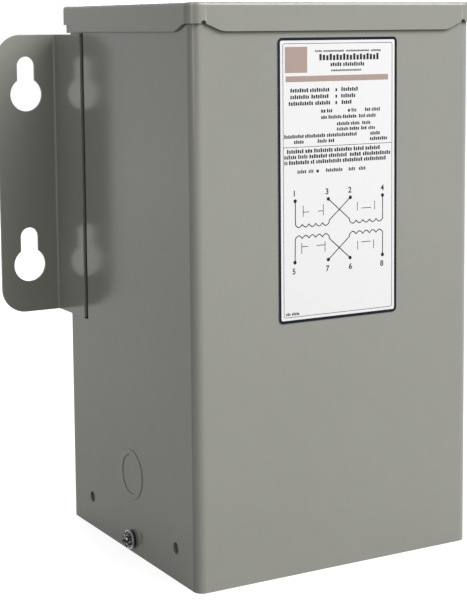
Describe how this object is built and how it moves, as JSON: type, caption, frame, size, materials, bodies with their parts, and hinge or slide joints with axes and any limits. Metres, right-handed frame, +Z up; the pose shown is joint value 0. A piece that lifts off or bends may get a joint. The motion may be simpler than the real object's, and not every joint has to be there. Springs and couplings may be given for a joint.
{
  "type": "buck boost transformer",
  "caption": "Tall encapsulated transformer in a grey sheet steel case, with a folded cap, rear wall ears with keyholes and a rating label",
  "frame": {"origin": "on the floor plane, at the middle of the outline seen from above", "axes": "+Z up, +Y towards the wall it hangs on, +X to the right seen from the front"},
  "size_m": [0.245, 0.1802, 0.305],
  "materials": {
    "case_paint": "semi-gloss warm grey powder coat",
    "cap_paint": "semi-gloss warm grey powder coat",
    "bracket_paint": "semi-gloss warm grey powder coat",
    "knockout_paint": "semi-gloss warm grey powder coat",
    "zinc": "bright zinc plate",
    "washer_black": "matt black",
    "label_face": null,
    "resin": "dark cast resin"
  },
  "bodies": {
    "root": {"case_wrap": "case_paint", "back_panel": "case_paint", "top_cap": "cap_paint", "left_bracket": "bracket_paint", "right_bracket": "bracket_paint", "bottom_cover": "case_paint", "left_cover_screw": "zinc", "right_cover_screw": "zinc", "left_screw_washer": "washer_black", "right_screw_washer": "washer_black", "left_knockout_ring": "knockout_paint", "right_knockout_ring": "knockout_paint", "left_knockout_disc": "knockout_paint", "right_knockout_disc": "knockout_paint", "rating_label": "label_face", "potted_core": "resin"}
  },
  "joints": []
}
